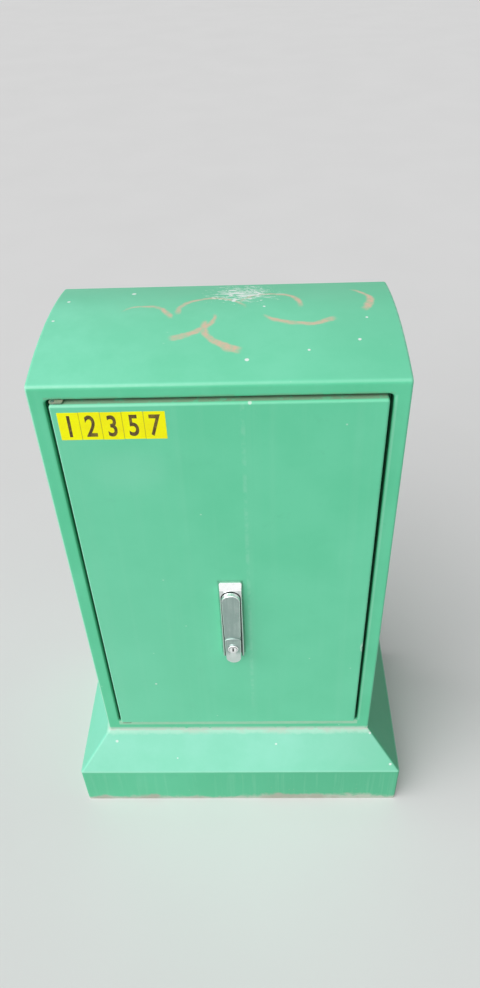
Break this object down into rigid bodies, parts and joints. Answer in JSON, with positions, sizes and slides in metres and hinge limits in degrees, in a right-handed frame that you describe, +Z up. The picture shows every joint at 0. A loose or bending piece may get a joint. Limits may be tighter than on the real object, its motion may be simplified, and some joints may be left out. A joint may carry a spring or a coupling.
{
  "type": "roadside utility cabinet",
  "caption": "Free-standing roadside utility cabinet with a curved roof, flared plinth, one hinged door, swing handle with lock, and connection gear inside.",
  "frame": {"origin": "on the ground under the middle of the plinth", "axes": "+Z up, +X to the viewer's right, +Y from the door into the cabinet"},
  "size_m": [0.628, 0.367, 0.987],
  "materials": {
    "moulded_green": "green glass-fibre gel coat, weathered satin",
    "plated_fastener": "zinc-plated steel",
    "hinge_steel": "dark stainless steel",
    "galvanised_steel": "galvanised steel",
    "black_nylon": "black glass-filled nylon",
    "black_rubber": "black rubber",
    "base_aluminium": "mill-finish aluminium sheet",
    "earth_brass": "brass bar",
    "handle_zinc": "satin chrome-plated zinc, weathered",
    "lock_nickel": "nickel-plated brass",
    "module_plastic": "ivory moulded plastic"
  },
  "bodies": {
    "cabinet": {"housing": "moulded_green", "plinth": "moulded_green", "base_bolts": "plated_fastener", "base_nuts": "plated_fastener", "base_plate": "base_aluminium", "base_plate_screws": "plated_fastener", "cable_gland_1": "black_rubber", "cable_gland_2": "black_rubber", "cable_gland_3": "black_rubber", "door_gasket": "black_rubber", "hinge_bracket_1": "hinge_steel", "hinge_bracket_2": "hinge_steel", "hinge_pin_1": "plated_fastener", "hinge_pin_2": "plated_fastener", "hinge_rivets": "plated_fastener", "lower_rail": "galvanised_steel", "upper_rail": "galvanised_steel", "rail_bolts": "plated_fastener", "module_frame_left": "galvanised_steel", "module_frame_right": "galvanised_steel", "frame_screws": "plated_fastener", "ring_strap": "galvanised_steel", "wire_rings": "galvanised_steel", "earth_bar": "earth_brass", "earth_bar_screws": "plated_fastener", "cable_clamp_bar": "galvanised_steel", "clamp_bar_screws": "plated_fastener", "module_left_1": "module_plastic", "module_left_2": "module_plastic", "module_left_3": "module_plastic", "module_left_4": "module_plastic", "module_left_5": "module_plastic", "module_left_6": "module_plastic", "module_right_1": "module_plastic", "module_right_2": "module_plastic", "module_right_3": "module_plastic", "module_right_4": "module_plastic", "module_right_5": "module_plastic", "module_right_6": "module_plastic"},
    "door": {"door": "moulded_green", "hinge_bush_1": "black_nylon", "hinge_bush_2": "black_nylon", "handle_tray": "handle_zinc", "handle_nut": "plated_fastener", "handle_stud_nut": "plated_fastener", "rod_guide_1": "black_nylon", "rod_guide_2": "black_nylon", "rod_guide_3": "black_nylon", "rod_guide_4": "black_nylon", "guide_screws": "plated_fastener"},
    "handle_swivel": {"handle_hub": "handle_zinc", "lever_pin": "plated_fastener", "cam_plate": "galvanised_steel", "drive_pins": "plated_fastener"},
    "lever": {"swing_lever": "handle_zinc", "lock_cylinder": "lock_nickel"},
    "lock_plug": {"lock_plug": "lock_nickel"},
    "upper_rod": {"upper_rod": "galvanised_steel"},
    "lower_rod": {"lower_rod": "galvanised_steel"}
  },
  "joints": [
    {"name": "door_hinge", "type": "hinge", "parent": "cabinet", "child": "door", "pos_m": [-0.216, -0.1435, 0.585], "axis": [0, 0, -1], "range_deg": [0, 100]},
    {"name": "handle_swing", "type": "hinge", "parent": "door", "child": "handle_swivel", "pos_m": [0.002, -0.1505, 0.5845], "axis": [0, -1, 0], "range_deg": [0, 90]},
    {"name": "lever_lift", "type": "hinge", "parent": "handle_swivel", "child": "lever", "pos_m": [0.002, -0.1635, 0.5845], "axis": [-1, 0, 0], "range_deg": [0, 25]},
    {"name": "key_turn", "type": "hinge", "parent": "lever", "child": "lock_plug", "pos_m": [0.002, -0.1505, 0.4727], "axis": [0, -1, 0], "range_deg": [0, 90]},
    {"name": "upper_rod_slide", "type": "slide", "parent": "door", "child": "upper_rod", "axis": [0, 0, -1], "range_m": [0, 0.01985]},
    {"name": "lower_rod_slide", "type": "slide", "parent": "door", "child": "lower_rod", "axis": [0, 0, 1], "range_m": [0, 0.01985]}
  ],
  "couplings": [
    {"joint": "upper_rod_slide", "follows": "handle_swing", "m_per_rad": 0.012604},
    {"joint": "lower_rod_slide", "follows": "handle_swing", "m_per_rad": 0.012604}
  ]
}
